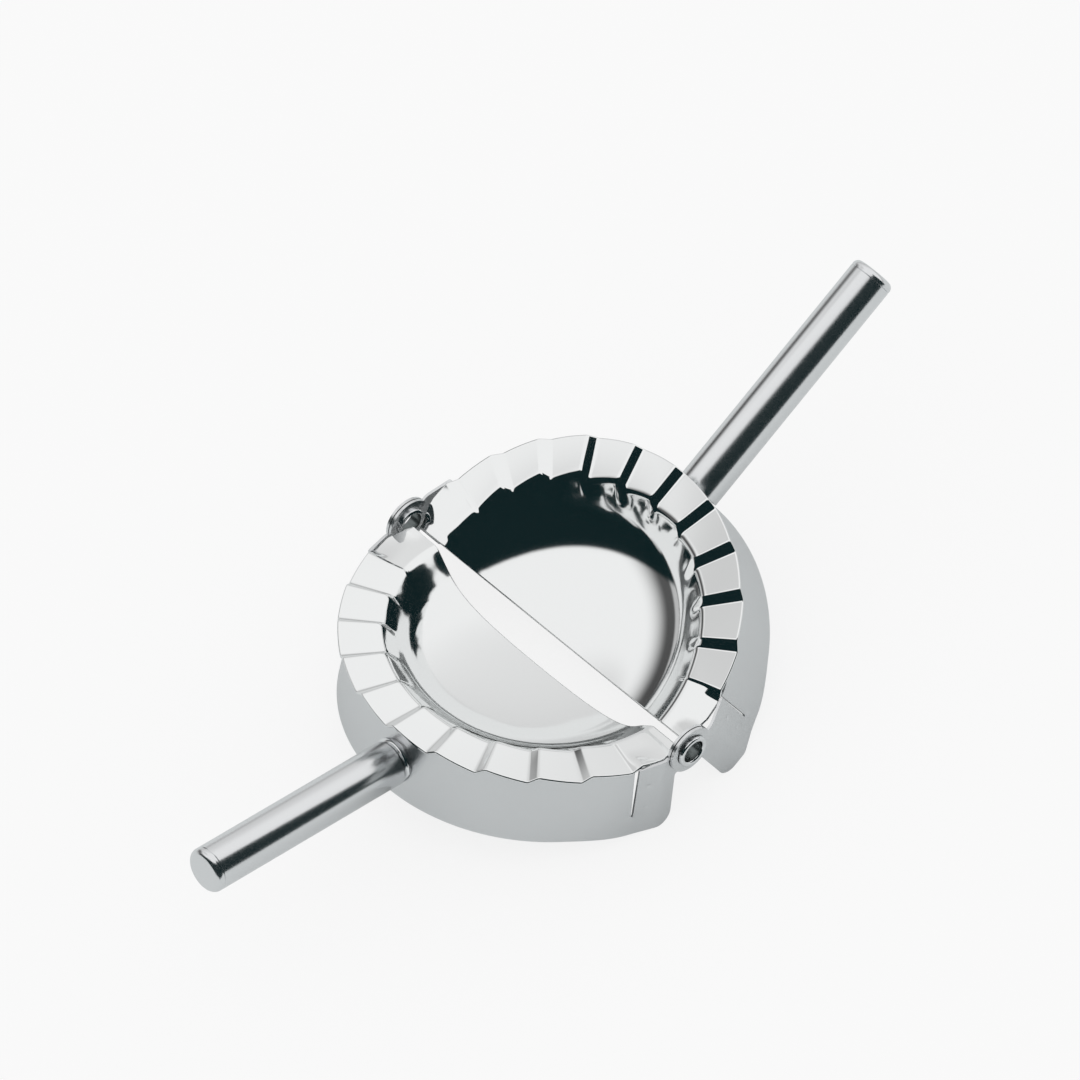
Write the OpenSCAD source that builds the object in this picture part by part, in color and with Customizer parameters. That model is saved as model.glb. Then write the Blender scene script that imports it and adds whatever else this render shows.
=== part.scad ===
// Folding ravioli mould of stainless steel: two pressed half cups with a pleated
// rim, each on a curved cutter skirt with a tubular handle, joined by a two-rivet
// hinge. The mould rests half open, like a shallow V, on its four skirt corners.
// Units are millimetres. Origin: middle of the footprint, on the table. X runs
// along the handles, Y along the hinge, Z up. Half a is on the -X side.

/* [Mould] */

// Outer radius of the pleated rim
flange_r = 47.5; // [42:0.5:54]
// Distance from the hinge axis to the centre of the rim arcs
arc_offset = 1.5; // [1:0.1:2.5]
// Distance from the hinge axis to the cut edge of each cup
edge_gap = 0.5; // [0.4:0.1:0.8]
// Fold between the two rims as the mould rests
fold_deg = 37.1; // [24:0.1:60]

/* [Pressed cups] */

// Thickness of the cup sheet
cup_sheet = 0.8; // [0.6:0.1:1.1]
// Pleats on each half rim
pleat_count = 12; // [8:1:16]
// Height of one pleat step
pleat_step = 1.7; // [1:0.1:2]
// Angle that one pleat step takes up along the rim
pleat_run = 2.9; // [2:0.1:4]
// Radial width of the pleated band
pleat_width = 10.3; // [8:0.1:13]
// Radial width of the sloping wall inside the pleats
wall_run = 4.8; // [3.5:0.1:6]
// Slope of the wall in degrees
wall_slope = 43; // [36:1:46]
// Length over which the wall turns towards the floor
wall_soft = 6.2; // [4:0.1:8]
// Radius of the nearly flat floor
floor_r = 20; // [14:0.5:24]
// Depth of the hollow below the hinge axis
bowl_depth = 10.9; // [10.4:0.1:15]
// Space between the meshing pleats of the closed mould
mesh_gap = 0.6; // [0.4:0.1:1]

/* [Cutter skirts] */

// Thickness of the skirt sheet
skirt_sheet = 0.7; // [0.5:0.1:0.8]
// Depth of the skirt below the hinge axis
skirt_drop = 21.2; // [19.5:0.1:28]
// How far the rim overhangs the skirt top
top_overhang = 3.2; // [2:0.1:4]
// How far the rim overhangs the skirt bottom
bottom_overhang = 1.1; // [0.2:0.1:2]
// Distance from the hinge axis to the slit that frees each hinge tab
slit_x = 14; // [12:0.1:17]
// Width of the slit
slit_width = 0.6; // [0.4:0.1:1]
// Depth of the slit's end below the hinge axis
slit_drop = 15.8; // [10:0.1:17]
// Distance from the hinge axis to the bend in the hinge tab
bend_x = 7.4; // [7.3:0.1:8.5]
// End edge of skirt a, measured from the hinge axis
end_a = 3.6; // [2.6:0.1:3.8]
// End edge of skirt b, measured from the hinge axis
end_b = 0.3; // [0.2:0.1:1.5]
// Corner radius at the lower skirt ends
corner_r = 3.4; // [2:0.1:3.5]

/* [Hinge] */

// Radius of the round hinge lugs
lug_r = 6; // [5.2:0.1:6.5]
// Radius of the rivet shank
shank_r = 3.4; // [2.8:0.1:3.6]
// Radius of the hole through the rivet
rivet_bore_r = 2.8; // [1.5:0.1:2.8]
// Radius of the outer rivet head
head_r = 4.1; // [3.9:0.1:4.8]
// Thickness of the rivet heads
head_h = 0.8; // [0.6:0.1:1.2]
// Running clearance round the rivet shank in lug b
pin_clear = 0.05; // [0.03:0.01:0.09]
// Side clearance between the lugs and under the rivet head
side_clear = 0.25; // [0.2:0.05:0.4]

/* [Handles] */

// Outer radius of the handle tubes
tube_r = 5.5; // [4.8:0.1:6.5]
// Wall of the handle tubes
tube_wall = 0.8; // [0.6:0.1:1.2]
// Depth of the handle axis below the hinge axis
handle_drop = 13.1; // [12:0.1:14.5]
// Reach of handle a from the hinge axis
reach_a = 104.6; // [85:0.1:130]
// Reach of handle b from the hinge axis
reach_b = 113.9; // [85:0.1:130]
// Space between the skirt and the tube mouth
mouth_gap = 1; // [0.6:0.1:3]
// Step from the tube surface down to the neck
neck_step = 0.2; // [0.1:0.05:0.7]
// How far the neck reaches in behind the skirt face
neck_in = 2; // [1.8:0.1:4]
// Length of the neck inside the tube
neck_plug = 12; // [6:0.5:20]
// Visible length of the end caps
cap_len = 2; // [1.8:0.1:6]
// Edge rounding of the end caps
cap_round = 1.5; // [0.8:0.1:1.7]
// Length of the cap inside the tube
cap_plug = 6; // [3:0.5:12]

/* [Hidden] */

steel_bright = [0.86, 0.87, 0.88];
steel_satin = [0.72, 0.73, 0.74];

// Rim
rim_z = -mesh_gap / 2;
pitch = 180 / pleat_count;
pleat_in_r = flange_r - pleat_width;
under_z = rim_z - pleat_step / 2 - cup_sheet;

// Skirt
top_r = flange_r - top_overhang;
bottom_r = flange_r - bottom_overhang;
end_top_r = flange_r - 0.4;
end_bottom_r = flange_r + 0.2;
tab_r = flange_r + 0.8;
tab_top = -0.3;
lug_in_a = flange_r;
lug_in_b = lug_in_a + skirt_sheet + side_clear;
head_y = lug_in_b + skirt_sheet + side_clear;
tab_turn = asin((slit_x - arc_offset) / flange_r);
ear_x = (slit_x + bend_x) / 2 + 0.3;
ear_w = 3.4;

// Handle
bore_r = tube_r - tube_wall;
neck_r = tube_r - neck_step;
skirt_at_handle = arc_offset + top_r
    + (bottom_r - top_r) * (handle_drop + under_z) / (skirt_drop + under_z);
mouth_x = skirt_at_handle + mouth_gap;

// Rest: both halves lean on their rounded lower skirt corners
half_fold = fold_deg / 2;
lean_a = end_a + corner_r;
lean_b = end_b + corner_r;
lean_h = skirt_drop - corner_r;
split = atan(-(lean_a - lean_b) * sin(half_fold)
    / ((lean_a + lean_b) * cos(half_fold) + 2 * lean_h * sin(half_fold)));
tilt_a = half_fold + split;
tilt_b = half_fold - split;
hinge_z = corner_r + lean_h * cos(tilt_a) - lean_a * sin(tilt_a);
function far(reach, tilt) = (reach - cap_round) * cos(tilt)
    + (handle_drop + tube_r - cap_round) * sin(tilt) + cap_round;
hinge_x = (far(reach_a, tilt_a) - far(reach_b, tilt_b)) / 2;

// Each half is built on +X with the hinge axis on Y, then turned into its rest pose
module place_a() {
    translate([hinge_x, 0, hinge_z]) rotate([0, tilt_a, 0]) mirror([1, 0, 0]) children();
}

module place_b() {
    translate([hinge_x, 0, hinge_z]) rotate([0, -tilt_b, 0]) children();
}

// Height of a pleat, sense 1 steps up and sense -1 steps down going from +Y to -Y
function pleat(turn, sense) =
    let (u = turn - pitch * floor(turn / pitch),
         first = turn < pitch / 2, last = turn > 180 - pitch / 2,
         v = (u - pleat_run / 2) / (pitch - pleat_run))
    sense * pleat_step / 2 * (turn <= 0 ? 1 : turn >= 180 ? -1
        : v < 0 ? (first ? 1 : 2 * u / pleat_run)
        : v > 1 ? (last ? -1 : -2 * (pitch - u) / pleat_run) : 1 - 2 * v);

// The same inside the rim edge, where the first and the last step have run out
function pleat_in(turn, sense) = turn < pitch + pleat_run / 2 ? sense * pleat_step / 2
    : turn > 180 - pitch - pleat_run / 2 ? -sense * pleat_step / 2 : pleat(turn, sense);

// Radial profile of the upper face: rim band, sloping wall, then a curve to the floor.
// The wall is smooth all round, and each pleat runs inwards until it meets the wall.
edge_row = 2;
edge_in = pleat_step / 2 / tan(wall_slope);
function wall_at(d) = [pleat_in_r - d, rim_z - d * tan(wall_slope)];
foot = wall_at(wall_run);
turn_in = foot - wall_soft * [cos(wall_slope), sin(wall_slope)];
function bowl_point(t) = pow(1 - t, 3) * foot + 3 * t * pow(1 - t, 2) * turn_in
    + 3 * t * t * (1 - t) * [floor_r, -bowl_depth] + pow(t, 3) * [0, -bowl_depth];
profile = concat(
    [[flange_r, rim_z], [flange_r - pleat_width / 2, rim_z]],
    [for (d = [0, 1.5 * edge_in, wall_run / 2]) wall_at(d)],
    [for (t = [0 : 0.1 : 0.91]) bowl_point(t)]);
rows = len(profile);

// Profile moved by one sheet thickness along its normal
function under(i) = i == 0 ? [profile[0][0], profile[0][1] - cup_sheet]
    : let (t = (i == rows - 1 ? [0, profile[i][1]] : profile[i + 1]) - profile[i - 1])
      profile[i] + cup_sheet * [-t[1], t[0]] / norm(t);

// Columns round the half rim: ends, then four to each pleat
turns = concat([0], [for (i = [0 : pleat_count - 1]) for (k = [0 : 3])
    pitch * i + pleat_run / 2 + k * (pitch - pleat_run) / 3], [180]);
cols = len(turns) + 2;
corner_slope = 0.275;
function edge_r(turn) = let (f = min(turn, 180 - turn)) f > 30 ? flange_r
    : min(flange_r, (flange_r - 2.1 + corner_slope * (arc_offset - edge_gap))
        / (cos(f) - corner_slope * sin(f)));
function trim(r, turn) = min(r, edge_r(turn));

function cup_point(c, i, p, sense) =
    let (turn = c == 0 ? 0 : c == cols - 1 ? 180 : turns[c - 1],
         out = c == 0 || c == cols - 1,
         lift = i > edge_row ? 0 : i == 0 ? pleat(turn, sense) : pleat_in(turn, sense),
         q = p[0] + (i == edge_row ? lift / tan(wall_slope) : 0),
         r = trim(q, turn) - (out && q > edge_r(turn) ? 0.3 : 0))
    [out ? edge_gap : arc_offset + r * sin(turn), r * cos(turn), p[1] + lift];

module cup_shell(sense) {
    n = cols * rows;
    top = [for (c = [0 : cols - 1]) for (i = [0 : rows - 1]) cup_point(c, i, profile[i], sense)];
    low = [for (c = [0 : cols - 1]) for (i = [0 : rows - 1]) cup_point(c, i, under(i), sense)];
    mids = [[arc_offset, 0, -bowl_depth], [edge_gap, 0, -bowl_depth],
            [arc_offset, 0, -bowl_depth - cup_sheet], [edge_gap, 0, -bowl_depth - cup_sheet]];
    ct = 2 * n;
    et = ct + 1;
    cl = ct + 2;
    el = ct + 3;
    last = rows - 1;
    polyhedron(points = concat(top, low, mids), faces = concat(
        [for (c = [0 : cols - 2]) for (i = [0 : last - 1]) each
            let (a = c * rows + i, b = a + 1, d = a + rows, e = d + 1)
            [[a, d, b], [d, e, b], [n + a, n + b, n + d], [n + d, n + b, n + e]]],
        [for (c = [1 : cols - 3]) each let (a = c * rows + last, d = a + rows)
            [[a, d, ct], [n + a, cl, n + d]]],
        [for (c = [0, cols - 2]) each let (a = c * rows + last, d = a + rows)
            c == 0 ? [[a, d, ct], [a, ct, et], [n + a, cl, n + d], [n + a, el, cl]]
                   : [[a, d, ct], [ct, d, et], [n + a, cl, n + d], [cl, el, n + d]]],
        [for (c = [0 : cols - 2]) each let (a = c * rows, d = a + rows)
            [[a, n + a, d], [d, n + a, n + d]]],
        [for (i = [0 : last - 1]) each let (a = i, d = (cols - 1) * rows + i)
            [[a, a + 1, n + a], [n + a, a + 1, n + a + 1],
             [d, n + d, d + 1], [n + d, n + d + 1, d + 1]]],
        [[last, et, n + last], [n + last, et, el],
         [(cols - 1) * rows + last, n + (cols - 1) * rows + last, et],
         [n + (cols - 1) * rows + last, el, et]]));
}

// Inner plan line at the foot of the hinge tab, where the ear of the cup is spot welded
function tab_y(x, lug_in) = let (x0 = tab_x,
    y0 = sqrt(pow(end_bottom_r, 2) - pow(x0 - arc_offset, 2)) - skirt_sheet)
    y0 + (lug_in - y0) * (x0 - x) / (x0 - bend_x);

// Ear that turns down from the rim behind the hinge tab
module ear(side, lug_in, sense) {
    out = asin((ear_x - arc_offset) / flange_r);
    turn = side > 0 ? out : 180 - out;
    z = rim_z + 0.85 * pleat(turn, sense) + 0.15 * pleat_in(turn, sense) - cup_sheet / 2;
    xs = [ear_x - ear_w / 2, ear_x + ear_w / 2];
    mirror([0, side > 0 ? 0 : 1, 0]) {
        translate([0, 0, -slit_drop]) linear_extrude(z + 0.2 + slit_drop)
            polygon([[xs[0], tab_y(xs[0], lug_in)], [xs[1], tab_y(xs[1], lug_in)],
                     [xs[1], tab_y(xs[1], lug_in) - cup_sheet],
                     [xs[0], tab_y(xs[0], lug_in) - cup_sheet]]);
        translate([0, 0, z - 0.2]) linear_extrude(0.4)
            polygon([[xs[0], tab_y(xs[0], lug_in) - 0.1], [xs[1], tab_y(xs[1], lug_in) - 0.1],
                     [xs[1], flange_r - 2.5 * cup_sheet], [xs[0], flange_r - 2 * cup_sheet]]);
    }
}

module cup(sense, lug_in) {
    color(steel_bright) {
        cup_shell(sense);
        ear(1, lug_in, sense);
        ear(-1, lug_in, sense);
    }
}

// Plan stations of the skirt: [x, y at the top, y at the slit end, y at the bottom]
function ease(t) = let (c = min(1, max(0, t))) c * c * (3 - 2 * c);
function band_r(turn, k) = let (f = min(turn, 180 - turn), e = ease((f - tab_turn) / 20))
    k == 0 ? end_top_r + (top_r - end_top_r) * e
           : end_bottom_r + (bottom_r - end_bottom_r) * e;
function band_mix(z) = (z - under_z) / (-skirt_drop - under_z);
function band_point(turn, z) = let (m = band_mix(z),
    r = band_r(turn, 0) * (1 - m) + band_r(turn, 1) * m)
    [arc_offset + r * sin(turn), r * cos(turn), z];
tab_x = slit_x - slit_width / 2 + 0.05;
function tab_point(side, z) = let (t = max(0, (z + slit_drop) / (slit_drop + tab_top)),
    r = end_bottom_r + (tab_r - end_bottom_r) * t)
    [tab_x, side * sqrt(pow(r, 2) - pow(tab_x - arc_offset, 2)), z];

// Curved wall from a grid of outer points, moved inwards by the sheet thickness
module wall(grid, inner) {
    m = len(grid[0]);
    n = len(grid) * m;
    cells = [for (s = [0 : len(grid) - 2]) for (k = [0 : m - 2]) s * m + k];
    ends = (len(grid) - 1) * m;
    polyhedron(points = concat([for (g = grid) each g], [for (g = inner) each g]),
        faces = concat(
            [for (a = cells) each let (b = a + 1, d = a + m, e = d + 1)
                [[a, b, d], [d, b, e], [n + a, n + d, n + b], [n + d, n + e, n + b]]],
            [for (s = [0 : len(grid) - 2]) each
                let (a = s * m, d = a + m, b = a + m - 1, e = d + m - 1)
                [[a, d, n + a], [d, n + d, n + a], [b, n + b, e], [e, n + b, n + e]]],
            [for (k = [0 : m - 2]) each let (a = k, b = ends + k)
                [[a, n + a, a + 1], [n + a, n + a + 1, a + 1],
                 [b, b + 1, n + b], [n + b, b + 1, n + b + 1]]]));
}

// Lug plane, hinge tabs and curved band as one strip of sheet
module strip(lug_in) {
    out = lug_in + skirt_sheet;
    zs = [tab_top, -slit_drop, -skirt_drop];
    zb = [under_z, -slit_drop, -skirt_drop];
    t0 = asin((slit_x + slit_width / 2 - 0.05 - arc_offset) / end_bottom_r);
    turns_band = [for (i = [0 : 48]) t0 + (180 - 2 * t0) * i / 48];
    tab = [[for (z = zs) [bend_x, out, z]], [for (z = zs) tab_point(1, z)]];
    grid = concat(tab, [for (t = turns_band) [for (z = zb) band_point(t, z)]],
        [for (g = [tab[1], tab[0]]) [for (p = g) [p[0], -p[1], p[2]]]]);
    inner = concat([for (g = tab) [for (p = g) p - [0, skirt_sheet, 0]]],
        [for (t = turns_band) [for (z = zb)
            band_point(t, z) - skirt_sheet * [sin(t), cos(t), 0]]],
        [for (g = [tab[1], tab[0]]) [for (p = g) [p[0], skirt_sheet - p[1], p[2]]]]);
    wall(grid, inner);
}

// Flat lug and the sheet below it, up to the bend
module lug(end_x, lug_in) {
    translate([0, lug_in + skirt_sheet, 0]) rotate([90, 0, 0]) linear_extrude(skirt_sheet)
        union() {
            circle(lug_r, $fn = 72);
            translate([end_x, -skirt_drop]) square([bend_x - end_x, skirt_drop + tab_top]);
            translate([0, -lug_r]) square([end_x + 1, lug_r]);
        }
}

// What is cut away at one end of the strip: slit, lower corner and rivet hole
module end_cuts(end_x, lug_in, hole_r) {
    translate([slit_x - slit_width / 2, lug_in - lug_r, -slit_drop])
        cube([slit_width + 0.25, 2 * lug_r, slit_drop + lug_r]);
    translate([0, lug_in + skirt_sheet + 1, 0]) rotate([90, 0, 0])
        linear_extrude(skirt_sheet + 2) {
            circle(hole_r, $fn = 72);
            difference() {
                translate([end_x - 1, -skirt_drop - 1]) square(corner_r + 1);
                translate([end_x + corner_r, -skirt_drop + corner_r])
                    circle(corner_r, $fn = 96);
            }
        }
}

module skirt(end_x, lug_in, hole_r) {
    color(steel_satin) difference() {
        union() {
            strip(lug_in);
            for (side = [0, 1]) mirror([0, side, 0]) lug(end_x, lug_in);
        }
        for (side = [0, 1]) mirror([0, side, 0]) end_cuts(end_x, lug_in, hole_r);
        translate([skirt_at_handle - neck_in - skirt_sheet, 0, -handle_drop])
            rotate([0, 90, 0])
                cylinder(r = neck_r, h = neck_in + skirt_sheet + mouth_gap, $fn = 64);
    }
}

// Hollow rivet with a rounded outer head and a rolled inner collar
module rivet() {
    c = 0.35;
    collar = 3.9;
    color(steel_bright) rotate([-90, 0, 0]) rotate_extrude($fn = 72) polygon(concat(
        [[rivet_bore_r, lug_in_a - head_h], [collar - c, lug_in_a - head_h],
         [collar, lug_in_a - head_h + c], [collar, lug_in_a], [shank_r, lug_in_a],
         [shank_r, head_y]],
        [[head_r, head_y]],
        [for (a = [0 : 15 : 90]) [head_r - c + c * cos(a), head_y + head_h - c + c * sin(a)]],
        [[rivet_bore_r + 0.3, head_y + head_h], [rivet_bore_r, head_y + head_h - 0.3]]));
}

// Solid neck welded through the skirt, with a spigot inside the tube
module neck() {
    color(steel_bright) translate([0, 0, -handle_drop]) rotate([0, 90, 0])
        rotate_extrude($fn = 64) polygon([
            [0, skirt_at_handle - neck_in], [neck_r, skirt_at_handle - neck_in],
            [neck_r, mouth_x], [bore_r, mouth_x], [bore_r, mouth_x + neck_plug],
            [0, mouth_x + neck_plug]]);
}

module tube(reach) {
    color(steel_satin) translate([mouth_x, 0, -handle_drop]) rotate([0, 90, 0])
        rotate_extrude($fn = 72)
            translate([bore_r, 0]) square([tube_wall, reach - cap_len - mouth_x]);
}

// End cap with a rounded edge, a fine groove and a plug inside the tube
module cap(reach) {
    base = reach - cap_len;
    color(steel_bright) translate([0, 0, -handle_drop]) rotate([0, 90, 0])
        rotate_extrude($fn = 72) polygon(concat(
            [[0, base - cap_plug], [bore_r, base - cap_plug], [bore_r, base], [tube_r - 0.15, base],
             [tube_r, base + 0.2]],
            [for (a = [0 : 10 : 90]) [tube_r - cap_round + cap_round * cos(a),
                reach - cap_round + cap_round * sin(a)]],
            [[0, reach]]));
}

module cup_a() { place_a() cup(1, lug_in_a); }
module cup_b() { place_b() cup(-1, lug_in_b); }
module skirt_a() { place_a() skirt(end_a, lug_in_a, shank_r); }
module skirt_b() { place_b() skirt(end_b, lug_in_b, shank_r + pin_clear); }
module rivet_front() { place_a() mirror([0, 1, 0]) rivet(); }
module rivet_back() { place_a() rivet(); }
module handle_neck_a() { place_a() neck(); }
module handle_neck_b() { place_b() neck(); }
module handle_tube_a() { place_a() tube(reach_a); }
module handle_tube_b() { place_b() tube(reach_b); }
module handle_cap_a() { place_a() cap(reach_a); }
module handle_cap_b() { place_b() cap(reach_b); }

cup_a();
cup_b();
skirt_a();
skirt_b();
rivet_front();
rivet_back();
handle_neck_a();
handle_neck_b();
handle_tube_a();
handle_tube_b();
handle_cap_a();
handle_cap_b();
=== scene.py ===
import math
import bpy
import bmesh
from mathutils import Matrix, Vector


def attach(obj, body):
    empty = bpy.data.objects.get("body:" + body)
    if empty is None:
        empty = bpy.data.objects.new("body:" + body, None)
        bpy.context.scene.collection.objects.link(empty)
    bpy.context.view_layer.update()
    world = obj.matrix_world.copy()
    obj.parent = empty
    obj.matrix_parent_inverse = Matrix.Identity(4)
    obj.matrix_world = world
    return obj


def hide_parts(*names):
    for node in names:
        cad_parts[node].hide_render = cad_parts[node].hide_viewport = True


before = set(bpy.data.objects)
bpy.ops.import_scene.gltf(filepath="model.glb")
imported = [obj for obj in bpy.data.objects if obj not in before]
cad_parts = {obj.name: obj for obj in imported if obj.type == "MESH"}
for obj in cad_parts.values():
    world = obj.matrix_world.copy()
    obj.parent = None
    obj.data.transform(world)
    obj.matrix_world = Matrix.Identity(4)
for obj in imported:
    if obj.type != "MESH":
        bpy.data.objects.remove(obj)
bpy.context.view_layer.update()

# Sizes in millimetres, the same as in the part
FLANGE_R, ARC, GAP = 47.5, 1.5, 0.5
CUP_T, PLEATS, STEP, RUN, PLEAT_W = 0.8, 12, 1.7, 2.9, 10.3
# Wall of each cup: radius of its upper edge, run, slope, share of the folds carried into it
WALL = {"a": (37.2, 5.2, math.radians(43), 0.6), "b": (37.7, 5.6, math.radians(39), 0.45)}
FOLD_FOOT, FOLD_FADE = 32.8, 4  # radius at which the folds end in the wall, and over how much
BOWL_SOFT, BOWL_FLAT, BOWL_DEPTH, RIM_Z = 6.2, 20.0, 10.9, -0.3
SKIRT_T, DROP, TOP_R, BOTTOM_R = 0.7, 21.2, 44.3, 46.4
END_TOP_R, END_BOTTOM_R, TAB_R, TAB_TOP = 47.1, 47.7, 48.3, -0.3
UNDER_Z = RIM_Z - STEP / 2 - CUP_T
FADE = 0.4  # level to which the steps next to the hinge run out inside the rim edge
SLIT_X, SLIT_W, SLIT_DROP, BEND_X = 14.0, 0.4, 15.8, 7.4
WELD_X, WELD_Z, WELD_R = 10.9, (-6.5, -13.2), 0.85
WELD_RINGS, DENT = (WELD_R, 0.65, 0.45, 0.25, 0.1), 0.1
BEND_HALF = 0.8  # half the length of the bend between hinge tab and skirt
BAND_MID_R = 47  # radius at which the flat strip is measured along the band
END_A, END_B, CORNER_R = 3.6, 0.3, 3.4
LUG_R, SHANK_R, BORE_R, HEAD_R, HEAD_H = 6.0, 3.4, 2.8, 4.1, 0.8
SIDE = 0.25
LUG_A = FLANGE_R
LUG_B = LUG_A + SKIRT_T + SIDE
HEAD_Y = LUG_B + SKIRT_T + SIDE
TUBE_R, TUBE_WALL, HANDLE_Z = 5.5, 0.8, -13.1
REACH_A, REACH_B, CAP_LEN, CAP_ROUND = 104.6, 113.9, 2.0, 1.5
SKIRT_FACE = ARC + TOP_R + (BOTTOM_R - TOP_R) * (HANDLE_Z - UNDER_Z) / (-DROP - UNDER_Z)
MOUTH_GAP, NECK_IN, FILLET = 1, 0.35, 0.6
COLLAR_R = 3.9
FOLD = 37.1

# Rest pose, worked out as in the part
half = math.radians(FOLD / 2)
lean_a, lean_b, lean_h = END_A + CORNER_R, END_B + CORNER_R, DROP - CORNER_R
split = math.atan(-(lean_a - lean_b) * math.sin(half)
                  / ((lean_a + lean_b) * math.cos(half) + 2 * lean_h * math.sin(half)))
TILT_A, TILT_B = half + split, half - split
HINGE_Z = CORNER_R + lean_h * math.cos(TILT_A) - lean_a * math.sin(TILT_A)


def far(reach, tilt):
    return ((reach - CAP_ROUND) * math.cos(tilt)
            + (-HANDLE_Z + TUBE_R - CAP_ROUND) * math.sin(tilt) + CAP_ROUND)


HINGE_X = (far(REACH_A, TILT_A) - far(REACH_B, TILT_B)) / 2
MM = Matrix.Scale(0.001, 4)
PLACE = {
    "a": MM @ Matrix.Translation((HINGE_X, 0, HINGE_Z)) @ Matrix.Rotation(TILT_A, 4, "Y")
    @ Matrix.Diagonal((-1, 1, 1, 1)),
    "b": MM @ Matrix.Translation((HINGE_X, 0, HINGE_Z)) @ Matrix.Rotation(-TILT_B, 4, "Y"),
}


# Meshes

def add_mesh(name, verts, faces, side, smooth_angle=35):
    """A mesh drawn in half coordinates, placed in the row frame."""
    m = PLACE[side]
    me = bpy.data.meshes.new(name)
    if side == "a":
        faces = [tuple(reversed(f)) for f in faces]
    me.from_pydata([tuple(m @ Vector(v)) for v in verts], [], faces)
    me.validate()
    ob = bpy.data.objects.new(name, me)
    bpy.context.scene.collection.objects.link(ob)
    for p in me.polygons:
        p.use_smooth = True
    me.set_sharp_from_angle(angle=math.radians(smooth_angle))
    return ob


def ease(t):
    t = min(1.0, max(0.0, t))
    return t * t * (3 - 2 * t)


# Pressed cups

PITCH = 180 / PLEATS


def pleat_raw(turn, sense):
    u = turn % PITCH
    if turn <= 0:
        k = 1.0
    elif turn >= 180:
        k = -1.0
    elif u < RUN / 2:
        k = 1.0 if turn < PITCH / 2 else 2 * u / RUN
    elif u > PITCH - RUN / 2:
        k = -1.0 if turn > 180 - PITCH / 2 else -2 * (PITCH - u) / RUN
    else:
        k = 1 - 2 * (u - RUN / 2) / (PITCH - RUN)
    return sense * STEP / 2 * k


def pleat_inner(turn, sense):
    """The same inside the rim edge, where the steps next to the hinge nearly run out."""
    h = pleat_raw(turn, sense)
    if min(turn, 180 - turn) > PITCH + RUN / 2:
        return h
    return FADE if (turn < 90) == (sense > 0) else min(h, -FADE)


def soft(fn, turn, sense, width, n=8):
    """Mean of fn over a small turn, which rounds the folds."""
    return sum(fn(turn + width * (2 * (k + 0.5) / n - 1), sense) for k in range(n)) / n


def edge_r(turn):
    f = min(turn, 180 - turn)
    if f > 30:
        return FLANGE_R
    f, k = math.radians(f), 0.275
    return min(FLANGE_R, (FLANGE_R - 2.1 + k * (ARC - GAP)) / (math.cos(f) - k * math.sin(f)))


def soft_min(a, b, k):
    h = max(0.0, k - abs(a - b))
    return min(a, b) - h * h / (4 * k)


def dish(edge, run, slope):
    """Wall and floor of the cup as (r, z), from the foot of the wall inwards."""
    c0 = (edge - run, RIM_Z - run * math.tan(slope))
    c1 = (c0[0] - BOWL_SOFT * math.cos(slope), c0[1] - BOWL_SOFT * math.sin(slope))
    pts = []
    for i in range(20):
        t = i / 20
        w = ((1 - t) ** 3, 3 * t * (1 - t) ** 2, 3 * t * t * (1 - t), t ** 3)
        pts.append((w[0] * c0[0] + w[1] * c1[0] + w[2] * BOWL_FLAT,
                    w[0] * c0[1] + w[1] * c1[1] - (w[2] + w[3]) * BOWL_DEPTH))
    return pts


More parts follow.
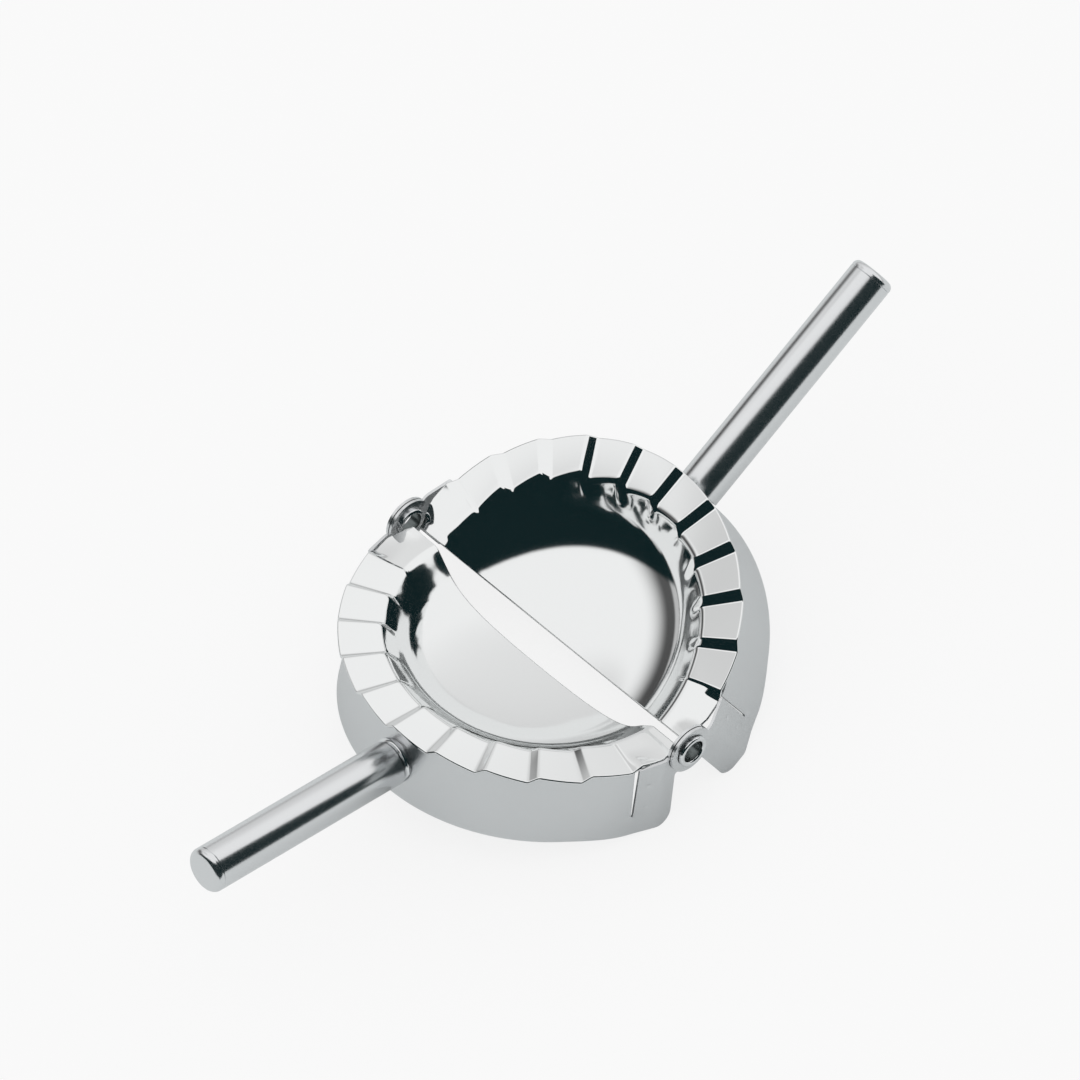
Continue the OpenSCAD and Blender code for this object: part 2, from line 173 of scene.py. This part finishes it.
def cup(name, side, sense):
    """Pressed sheet: each column is a profile across the rim, down the wall, to the middle."""
    rim_rows = [FLANGE_R, 46.6, 45.4, 44.1, 42.8, 41.5, 40.4, 39.4]
    edge_rows = [38.8 - 0.2 * k for k in range(16)]
    wall_rows = [35.3, 34.8, 34.3, 33.8, 33.3, 32.9]
    near = [-1.4, -1.15, -0.9, -0.65, -0.4, -0.15, 0.1, 0.35, 0.6, 0.9]
    edge, run, slope, carry = WALL[side]
    turns = {0.0, 180.0}
    for i in range(PLEATS):
        a, b = PITCH * i + RUN / 2, PITCH * (i + 1) - RUN / 2
        turns |= {a + (b - a) * k / 6 for k in range(1, 6)}
        for k in near:
            turns |= {a + k, b - k}
    turns = sorted(t for t in turns if 0 <= t <= 180)
    cols = [("end", 0.0)] + [("mid", t) for t in turns] + [("end", 180.0)]
    verts, faces = [], []
    for kind, t in cols:
        er, rad = edge_r(t), math.radians(t)
        high, deep = soft(pleat_raw, t, sense, 0.5), soft(pleat_inner, t, sense, 0.5)
        folds = carry * soft(pleat_inner, t, sense, 1.5)
        top = []
        for r in rim_rows + edge_rows + wall_rows:
            f = min(1.0, max(0.0, (r - FLANGE_R + PLEAT_W / 2) / (PLEAT_W / 2)))
            lift = deep + (high - deep) * f
            wall = RIM_Z - (edge - r) * math.tan(slope) + folds * ease((r - FOLD_FOOT) / FOLD_FADE)
            top.append((r, soft_min(RIM_Z + lift, wall, 0.8)))
        top += dish(edge, run, slope)
        low = []
        for i, (r, z) in enumerate(top):
            r0, z0 = top[max(0, i - 1)]
            r1, z1 = top[i + 1] if i + 1 < len(top) else (0, -BOWL_DEPTH)
            ln = math.hypot(r1 - r0, z1 - z0)
            low.append((r - CUP_T * (z1 - z0) / ln, z + CUP_T * (r1 - r0) / ln))
        for r, z in list(reversed(top)) + low:
            if r > 40:
                r = 40 + (r - 40) * (er - 40) / (FLANGE_R - 40)
            x = GAP if kind == "end" else ARC + r * math.sin(rad)
            verts.append((x, r * math.cos(rad), z))
    rows = len(top)
    n = 2 * rows
    for c in range(len(cols) - 1):
        for i in range(n - 1):
            a, b = c * n + i, (c + 1) * n + i
            faces.append((a, b, b + 1, a + 1))
    ct = len(verts)
    et, cl, el, last = ct + 1, ct + 2, ct + 3, len(cols) - 1
    verts += [(ARC, 0, -BOWL_DEPTH), (GAP, 0, -BOWL_DEPTH),
              (ARC, 0, -BOWL_DEPTH - CUP_T), (GAP, 0, -BOWL_DEPTH - CUP_T)]
    for c in range(1, last - 1):
        faces.append((ct, (c + 1) * n, c * n))
        faces.append((cl, c * n + n - 1, (c + 1) * n + n - 1))
    faces += [(ct, n, 0, et), (cl, el, n - 1, 2 * n - 1),
              (ct, et, last * n, (last - 1) * n),
              (cl, (last - 1) * n + n - 1, last * n + n - 1, el)]
    for c in (0, last):
        o = c * n
        cut = [(o + i, o + i + 1, o + n - 2 - i, o + n - 1 - i) for i in range(rows - 1)]
        cut.append((o, o + n - 1, el, et))
        faces += cut if c == 0 else [tuple(reversed(q)) for q in cut]
    return add_mesh(name, verts, faces, side, 50)


# Curved sheet strips

T0 = math.asin((SLIT_X + SLIT_W / 2 - ARC) / END_BOTTOM_R)


def band_xy(turn, z):
    """Outer point of the band at a turn in radians from the +Y end."""
    deg = math.degrees(min(turn, math.pi - turn))
    e = ease((deg - math.degrees(T0)) / 20)
    m = (z - UNDER_Z) / (-DROP - UNDER_Z)
    top = END_TOP_R + (TOP_R - END_TOP_R) * e
    low = END_BOTTOM_R + (BOTTOM_R - END_BOTTOM_R) * e
    r = top * (1 - m) + low * m
    return ARC + r * math.sin(turn), r * math.cos(turn)


def tab_xy(u, z, lug_in):
    """Outer point at u along the tab, from the hinge axis."""
    tx = SLIT_X - SLIT_W / 2
    t = max(0.0, (z + SLIT_DROP) / (SLIT_DROP + TAB_TOP))
    r = END_BOTTOM_R + (TAB_R - END_BOTTOM_R) * t
    y1 = math.sqrt(r * r - (tx - ARC) ** 2)
    y0 = lug_in + SKIRT_T
    if u <= BEND_X - BEND_HALF:
        return u, y0
    if u >= BEND_X + BEND_HALF:
        return u, y0 + (y1 - y0) * (u - BEND_X) / (tx - BEND_X)
    k = (u - BEND_X + BEND_HALF) / (2 * BEND_HALF)
    return u, y0 + (y1 - y0) * 0.4 * k * k * 2 / (tx - BEND_X)


V_FOOT0, V_FOOT1 = SLIT_X - SLIT_W / 2, SLIT_X + SLIT_W / 2
V_MID = V_FOOT1 + BAND_MID_R * (math.pi / 2 - T0)


def strip_xy(u, z, lug_in):
    if u <= V_FOOT0:
        return tab_xy(u, z, lug_in)
    if u >= V_FOOT1:
        return band_xy(T0 + (u - V_FOOT1) / BAND_MID_R, z)
    a, b = tab_xy(V_FOOT0, z, lug_in), band_xy(T0, z)
    k = (u - V_FOOT0) / (V_FOOT1 - V_FOOT0)
    return a[0] + (b[0] - a[0]) * k, a[1] + (b[1] - a[1]) * k


def arc_pts(cx, cz, r, a0, a1, n):
    return [(cx + r * math.cos(math.radians(a0 + (a1 - a0) * i / n)),
             cz + r * math.sin(math.radians(a0 + (a1 - a0) * i / n))) for i in range(n + 1)]


def skirt(name, side, end_x, lug_in):
    """The strip cut flat, sliced fine, then bent to shape and thickened."""
    a0 = math.degrees(math.asin(TAB_TOP / LUG_R))
    out = [(V_MID, UNDER_Z), (V_FOOT1, UNDER_Z), (V_FOOT1, -SLIT_DROP + 0.3)]
    out += arc_pts(SLIT_X, -SLIT_DROP + 0.3, SLIT_W / 2, 0, -180, 8)
    out += [(V_FOOT0, TAB_TOP - 0.3), (V_FOOT0 - 0.3, TAB_TOP)]
    out += arc_pts(0, 0, LUG_R, a0, 270, 60)
    if end_x > 1:
        out += [(end_x - 0.8, -LUG_R)] + arc_pts(end_x - 0.8, -LUG_R - 0.8, 0.8, 80, 0, 6)
    else:
        out += [(end_x, -LUG_R)]
    out += arc_pts(end_x + CORNER_R, -DROP + CORNER_R, CORNER_R, 180, 270, 16)
    out += [(V_MID, -DROP)]
    bm = bmesh.new()
    ring = [bm.verts.new((u, 0, z)) for u, z in out]
    edges = [bm.edges.new((ring[i], ring[(i + 1) % len(ring)])) for i in range(len(ring))]
    hole = [bm.verts.new((u, 0, z)) for u, z in arc_pts(0, 0, SHANK_R, 0, 360, 48)[:-1]]
    edges += [bm.edges.new((hole[i], hole[(i + 1) % 48])) for i in range(48)]
    rings = []
    for wz in WELD_Z:
        rings.append([[bm.verts.new((u, 0, z)) for u, z in arc_pts(WELD_X, wz, r, 0, 360, 16)[:-1]]
                      for r in WELD_RINGS])
        edges += [bm.edges.new((rings[-1][0][i], rings[-1][0][(i + 1) % 16])) for i in range(16)]
    bmesh.ops.triangle_fill(bm, use_beauty=True, use_dissolve=False, edges=edges)
    for ring in rings:
        for a, b in zip(ring, ring[1:]):
            for i in range(16):
                bm.faces.new((a[i], a[(i + 1) % 16], b[(i + 1) % 16], b[i]))
        bm.faces.new(ring[-1])
    bmesh.ops.recalc_face_normals(bm, faces=bm.faces[:])

    def cut(co, no):
        geom = bm.verts[:] + bm.edges[:] + bm.faces[:]
        bmesh.ops.bisect_plane(bm, geom=geom, dist=1e-5, plane_co=co, plane_no=no)

    for u in [BEND_X - BEND_HALF + 0.2 * k for k in range(9)] + [9.5, 11, 12.5]:
        cut((u, 0, 0), (1, 0, 0))
    n = 64
    for k in range(1, n):
        cut((V_FOOT1 + (V_MID - V_FOOT1) * k / n, 0, 0), (1, 0, 0))
    for z in (-SLIT_DROP, -12, -8, -4, -18.5):
        cut((0, 0, z), (0, 0, 1))
    if bm.faces[:] and sum(f.normal.y for f in bm.faces) < 0:
        bmesh.ops.reverse_faces(bm, faces=bm.faces[:])
    bm.verts.ensure_lookup_table()
    flat = [(v.co.x, v.co.z) for v in bm.verts]
    tris = [[v.index for v in f.verts] for f in bm.faces]
    border = [(e.verts[0].index, e.verts[1].index, e.link_faces[0]) for e in bm.edges
              if len(e.link_faces) == 1]
    sides = []
    for i, j, f in border:
        loop = [v.index for v in f.verts]
        k = loop.index(i)
        if loop[(k + 1) % len(loop)] != j:
            i, j = j, i
        sides.append((i, j))
    bm.free()
    outer, inner = [], []
    for u, z in flat:
        x, y = strip_xy(u, z, lug_in)
        x1, y1 = strip_xy(u + 0.01, z, lug_in)
        x0, y0 = strip_xy(u - 0.01, z, lug_in) if u < V_MID - 0.02 else (x, y)
        if u > V_MID - 0.02:
            tx, ty = 0.0, -1.0
        else:
            tx, ty = x1 - x0, y1 - y0
        if V_FOOT0 - 0.05 < u < V_FOOT1 + 0.05:
            tx, ty = math.cos(T0), -math.sin(T0)
        ln = math.hypot(tx, ty)
        d = min(math.hypot(u - WELD_X, z - wz) for wz in WELD_Z)
        dent = DENT * (1 + math.cos(math.pi * d / WELD_R)) if d < WELD_R else 0.0
        outer.append((x + dent * ty / ln, y - dent * tx / ln, z))
        inner.append((x + (SKIRT_T + dent) * ty / ln, y - (SKIRT_T + dent) * tx / ln, z))
    n = len(flat)
    verts = outer + inner
    faces = [tuple(t) for t in tris] + [tuple(n + i for i in reversed(t)) for t in tris]
    for i, j in sides:
        if flat[i][0] > V_MID - 1e-3 and flat[j][0] > V_MID - 1e-3:
            continue
        faces.append((j, i, n + i, n + j))
    m = len(verts)
    mirrored = [(x, -y, z) for x, y, z in verts]
    faces += [tuple(m + i for i in reversed(f)) for f in faces]
    ob = add_mesh(name, verts + mirrored, faces, side, 40)
    bm = bmesh.new()
    bm.from_mesh(ob.data)
    bmesh.ops.remove_doubles(bm, verts=bm.verts[:], dist=2e-6)
    bm.to_mesh(ob.data)
    bm.free()
    ob.data.set_sharp_from_angle(angle=math.radians(40))
    return ob


def bevel(ob, width, segments=3, angle=45):
    mod = ob.modifiers.new("edge", "BEVEL")
    mod.width = width / 1000
    mod.segments = segments
    mod.limit_method = "ANGLE"
    mod.angle_limit = math.radians(angle)
    mod.harden_normals = False
    mod.miter_outer = "MITER_ARC"
    return ob


# Turned pieces

def arc(r, a, size, start, stop, n=8):
    """Points (radius, along) of an arc round (r, a)."""
    return [(r + size * math.cos(math.radians(start + (stop - start) * i / n)),
             a + size * math.sin(math.radians(start + (stop - start) * i / n)))
            for i in range(n + 1)]


def turned(name, side, points, spot, closed=True, steps=96):
    """A profile of (radius, along) turned round an axis; spot gives the place of a point."""
    n, verts, faces = len(points), [], []
    for s in range(steps):
        t = 2 * math.pi * s / steps
        verts += [spot(a, r * math.cos(t), r * math.sin(t)) for r, a in points]
    for s in range(steps):
        q = (s + 1) % steps
        for i in range(n if closed else n - 1):
            j = (i + 1) % n
            faces.append((s * n + i, s * n + j, q * n + j, q * n + i))
    ob = add_mesh(name, verts, faces, side, 35)
    bm = bmesh.new()
    bm.from_mesh(ob.data)
    bmesh.ops.remove_doubles(bm, verts=bm.verts[:], dist=1e-6)
    bmesh.ops.recalc_face_normals(bm, faces=bm.faces[:])
    bm.to_mesh(ob.data)
    bm.free()
    ob.data.set_sharp_from_angle(angle=math.radians(35))
    return ob


def along_handle(a, u, v):
    return a, u, HANDLE_Z + v


def rivet(name, y):
    """Hollow rivet with a soft head outside and a collar inside; y is 1 or -1."""
    head = HEAD_Y + HEAD_H
    foot = LUG_A - HEAD_H
    pts = [(BORE_R, foot + 0.3)] + arc(BORE_R + 0.3, foot + 0.3, 0.3, 180, 270, 5)
    pts += arc(COLLAR_R - 0.35, foot + 0.35, 0.35, -90, 0, 5)
    pts += [(COLLAR_R, LUG_A), (SHANK_R, LUG_A), (SHANK_R, HEAD_Y), (HEAD_R, HEAD_Y)]
    pts += arc(HEAD_R - 0.5, head - 0.5, 0.5, 0, 90, 7)
    pts += arc(BORE_R + 0.6, head - 0.6, 0.6, 90, 180, 9)
    return turned(name, "a", pts, lambda a, u, v: (u, y * a, v))


def neck(name, side):
    """Welded neck: a fillet at the sheet and a groove before the mouth of the tube."""
    face, r, c = SKIRT_FACE, TUBE_R - NECK_IN, FILLET
    pts = [(0, face - 2), (r, face - 2), (r, face - 0.9), (r + c, face - 0.35)]
    pts += arc(r + c, face + 0.25, c, -90, -180, 7)
    pts += [(r, face + 0.6), (r - 0.6, face + 0.65), (r - 0.6, face + 3), (0, face + 3)]
    return turned(name, side, pts, along_handle, False)


def tube(name, side, reach):
    a, b, c = SKIRT_FACE + MOUTH_GAP, reach - CAP_LEN, 0.12
    pts = arc(TUBE_R - c, a + c, c, -90, 0, 5) + [(TUBE_R, b - 0.1), (TUBE_R - 0.1, b)]
    pts += [(TUBE_R - TUBE_WALL, b), (TUBE_R - TUBE_WALL, a)]
    return turned(name, side, pts, along_handle)


def cap(name, side, reach):
    b, c = reach - CAP_LEN, CAP_ROUND
    pts = [(0, b - 2), (TUBE_R - TUBE_WALL, b - 2), (TUBE_R - TUBE_WALL, b),
           (TUBE_R - 0.15, b), (TUBE_R, b + 0.15)]
    pts += arc(TUBE_R - c, reach - c, c, 0, 90, 12) + [(0, reach)]
    return turned(name, side, pts, along_handle, False)


# Materials

def steel(name, base, rough):
    mat = bpy.data.materials.new(name)
    mat.use_nodes = True
    nt = mat.node_tree
    b = nt.nodes["Principled BSDF"]
    b.inputs["Base Color"].default_value = (*base, 1)
    b.inputs["Metallic"].default_value = 1.0
    b.inputs["Roughness"].default_value = rough
    return mat


mirror = steel("steel_mirror", (0.86, 0.87, 0.87), 0.07)
satin = steel("steel_satin", (0.72, 0.73, 0.74), 0.26)
drawn = steel("steel_drawn", (0.76, 0.77, 0.78), 0.19)
# Painted shade: a near-black steel for the inside of the rivet bores, standing in for the shade
# deep in the hollow
painted_bore_shade = steel("steel_painted_bore_shade", (0.16, 0.18, 0.18), 0.3)
polished = steel("steel_polished", (0.80, 0.81, 0.82), 0.12)

BODY = {"a": "half_a", "b": "half_b"}


def own(ob, side, slot, mat, *nodes):
    ob.data.materials.clear()
    ob.data.materials.append(mat)
    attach(ob, BODY[side])
    if nodes:
        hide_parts(*nodes)
    return ob


for side, sense in (("a", 1), ("b", -1)):
    own(bevel(cup("Cup_" + side, side, sense), 0.38, 4, 60), side, "steel_mirror", mirror,
        "cup_" + side)
    end_x, lug_in = (END_A, LUG_A) if side == "a" else (END_B, LUG_B)
    own(bevel(skirt("Skirt_" + side, side, end_x, lug_in), 0.12, 2, 50), side, "steel_satin",
        satin, "skirt_" + side)

    reach = REACH_A if side == "a" else REACH_B
    own(neck("Neck_" + side, side), side, "steel_polished", polished, "handle_neck_" + side)
    own(tube("Tube_" + side, side, reach), side, "steel_satin", drawn, "handle_tube_" + side)
    own(cap("Cap_" + side, side, reach), side, "steel_polished", drawn, "handle_cap_" + side)
for name, y in (("front", -1), ("back", 1)):
    ob = own(rivet("Rivet_" + name, y), "a", "steel_polished", polished, "rivet_" + name)
    # Faces inside the bore get the painted shade material, a dark colour in place of the shade in
    # the hollow
    ob.data.materials.append(painted_bore_shade)
    hinge = PLACE["a"].translation
    for p in ob.data.polygons:
        c = p.center - hinge
        if math.hypot(c.x, c.z) < (BORE_R + 0.12) / 1000 and abs(c.y) < (HEAD_Y + 0.45) / 1000:
            p.material_index = 1

# Floor and light: white for the eye and for diffuse light, a studio for reflections

def nodes_of(mat):
    mat.use_nodes = True
    mat.node_tree.nodes.clear()
    return mat.node_tree


def add(nt, kind, **values):
    """A node with named properties, numbered inputs as i0, i1 and so on."""
    node = nt.nodes.new(kind)
    for key, val in values.items():
        if key[0] == "i" and key[1:].isdigit():
            put(nt, val, node.inputs[int(key[1:])])
        else:
            setattr(node, key, val)
    return node


def put(nt, val, socket):
    if isinstance(val, bpy.types.NodeSocket):
        nt.links.new(val, socket)
    elif val is not None:
        socket.default_value = val


def dot(nt, vec, d):
    return add(nt, "ShaderNodeVectorMath", operation="DOT_PRODUCT", i0=vec,
               i1=tuple(Vector(d).normalized())).outputs["Value"]


def ramp(nt, val, a, b, lo=0.0, hi=1.0):
    return add(nt, "ShaderNodeMapRange", interpolation_type="SMOOTHSTEP", i0=val, i1=a, i2=b,
               i3=lo, i4=hi).outputs[0]


def calc(nt, kind, a, b):
    return add(nt, "ShaderNodeMath", operation=kind, i0=a, i1=b).outputs[0]


def blend(nt, fac, a, b):
    """Value a where fac is 0 and b where it is 1."""
    return add(nt, "ShaderNodeMix", data_type="FLOAT", i0=fac, i2=a, i3=b).outputs[0]


def way(az, el=0):
    az, el = math.radians(az), math.radians(el)
    return math.cos(az) * math.cos(el), math.sin(az) * math.cos(el), math.sin(el)


DARK = (0.004, 0.015, 0.017, 1)
HORIZON = 0.54

bpy.ops.mesh.primitive_plane_add(size=6)
floor = bpy.context.object
floor.name = "Floor"
fm = bpy.data.materials.new("floor")
nt = nodes_of(fm)
path = add(nt, "ShaderNodeLightPath")
pale = add(nt, "ShaderNodeBsdfDiffuse", i0=(0.95, 0.95, 0.95, 1))
lit = add(nt, "ShaderNodeEmission", i0=(0.95, 0.95, 0.95, 1), i1=1.0)
grey = add(nt, "ShaderNodeBsdfDiffuse", i0=(0.72, 0.74, 0.74, 1))
seen = calc(nt, "MULTIPLY", path.outputs["Is Camera Ray"], 0.88)
eye = add(nt, "ShaderNodeMixShader", i0=seen, i1=pale.outputs[0], i2=lit.outputs[0])
mix = add(nt, "ShaderNodeMixShader", i0=path.outputs["Is Glossy Ray"], i1=eye.outputs[0],
          i2=grey.outputs[0])
add(nt, "ShaderNodeOutputMaterial", i0=mix.outputs[0])
floor.data.materials.append(fm)

# An upright screen, metres round the object, that only the metal sees
SCREEN_R, SCREEN_H, SCREEN_FROM, SCREEN_STEP, SCREEN_PARTS = 0.3, 0.56, -40, 5, 22
verts, faces = [], []
for i in range(SCREEN_PARTS + 1):
    x, y, _ = way(SCREEN_FROM - SCREEN_STEP * i)
    verts += [(SCREEN_R * x, SCREEN_R * y, 0), (SCREEN_R * x, SCREEN_R * y, SCREEN_H)]
for i in range(SCREEN_PARTS):
    faces.append((2 * i, 2 * i + 2, 2 * i + 3, 2 * i + 1))
me = bpy.data.meshes.new("Screen")
me.from_pydata(verts, [], faces)
screen = bpy.data.objects.new("Screen", me)
bpy.context.scene.collection.objects.link(screen)
sm = bpy.data.materials.new("screen")
nt = nodes_of(sm)
dark = add(nt, "ShaderNodeEmission", i0=DARK, i1=1.0)
add(nt, "ShaderNodeOutputMaterial", i0=dark.outputs[0])
me.materials.append(sm)
screen.visible_camera = screen.visible_diffuse = screen.visible_shadow = False
screen.visible_transmission = False

world = bpy.data.worlds.new("World")
bpy.context.scene.world = world
nt = nodes_of(world)
ray = add(nt, "ShaderNodeTexCoord").outputs["Generated"]
high = dot(nt, ray, (0, 0, 1))
# The side behind and left is dark
open_sky = ramp(nt, dot(nt, ray, (0.735, 0.499, 0.46)), -0.045, 0.005)
# The bright part: softer towards the right, a dim band low at the far side, grey near the horizon
side = calc(nt, "MULTIPLY", ramp(nt, dot(nt, ray, way(65)), 0.45, 0.95),
            ramp(nt, high, 0.55, 0.85, 1, 0))
sky = blend(nt, side, 0.97, 0.74)
spot = ramp(nt, dot(nt, ray, way(98, 50)), math.cos(math.radians(15)),
            math.cos(math.radians(5)), 1.0, 0.72)
sky = calc(nt, "MULTIPLY", sky, spot)
far_side = ramp(nt, dot(nt, ray, way(125)), 0.60, 0.86)
near_side = calc(nt, "SUBTRACT", 1.0, far_side)
band = calc(nt, "MULTIPLY", far_side, ramp(nt, high, 0.30, 0.62, 1, 0))
sky = calc(nt, "MULTIPLY", sky, blend(nt, band, 1.0, 0.10))
low_near = calc(nt, "MULTIPLY", ramp(nt, high, 0.16, 0.25, 1, 0), near_side)
sky = blend(nt, low_near, sky, HORIZON)
low_far = calc(nt, "MULTIPLY", ramp(nt, high, 0.10, 0.17, 1, 0), far_side)
sky = blend(nt, low_far, sky, HORIZON)
shade = add(nt, "ShaderNodeMix", data_type="RGBA", i0=open_sky)
shade.inputs[6].default_value = DARK
grey_sky = add(nt, "ShaderNodeCombineColor", i0=sky, i1=sky, i2=sky)
nt.links.new(grey_sky.outputs[0], shade.inputs[7])
path = add(nt, "ShaderNodeLightPath")
plain = add(nt, "ShaderNodeBackground", i0=(1, 1, 1, 1), i1=1.0)
studio = add(nt, "ShaderNodeBackground", i0=shade.outputs[2], i1=1.0)
mix = add(nt, "ShaderNodeMixShader", i0=path.outputs["Is Glossy Ray"], i1=plain.outputs[0],
          i2=studio.outputs[0])
add(nt, "ShaderNodeOutputWorld", i0=mix.outputs[0])


# Camera, from the fit of the photo's outlines in half a's own frame

AZ, EL, ROLL = math.radians(-46.745), math.radians(43.073), math.radians(6.0)
TX, TY, DIST, FPX = -3.73, 21.222, 1857.143, 8000.0
PHOTO_PX, SENSOR = 1080, 36
back = Vector((math.sin(AZ) * math.cos(EL), -math.cos(AZ) * math.cos(EL), math.sin(EL)))
right = Vector((math.cos(AZ), math.sin(AZ), 0))
up = back.cross(right)
r2 = math.cos(ROLL) * right + math.sin(ROLL) * up
u2 = -math.sin(ROLL) * right + math.cos(ROLL) * up
place = back * DIST + right * TX + up * TY
turn = Matrix.Rotation(TILT_A, 3, "Y")
back, r2, u2, place = turn @ back, turn @ r2, turn @ u2, turn @ place
place = (place + Vector((HINGE_X, 0, HINGE_Z))) * 0.001
cam_data = bpy.data.cameras.new("Camera")
cam = bpy.data.objects.new("Camera", cam_data)
bpy.context.scene.collection.objects.link(cam)
cam.matrix_world = Matrix(((r2.x, u2.x, back.x, place.x), (r2.y, u2.y, back.y, place.y),
                           (r2.z, u2.z, back.z, place.z), (0, 0, 0, 1)))
cam_data.sensor_width = SENSOR
cam_data.lens = FPX / PHOTO_PX * SENSOR
cam_data.clip_start, cam_data.clip_end = 0.05, 20
sc = bpy.context.scene
sc.camera = cam
sc.view_settings.view_transform = "Standard"
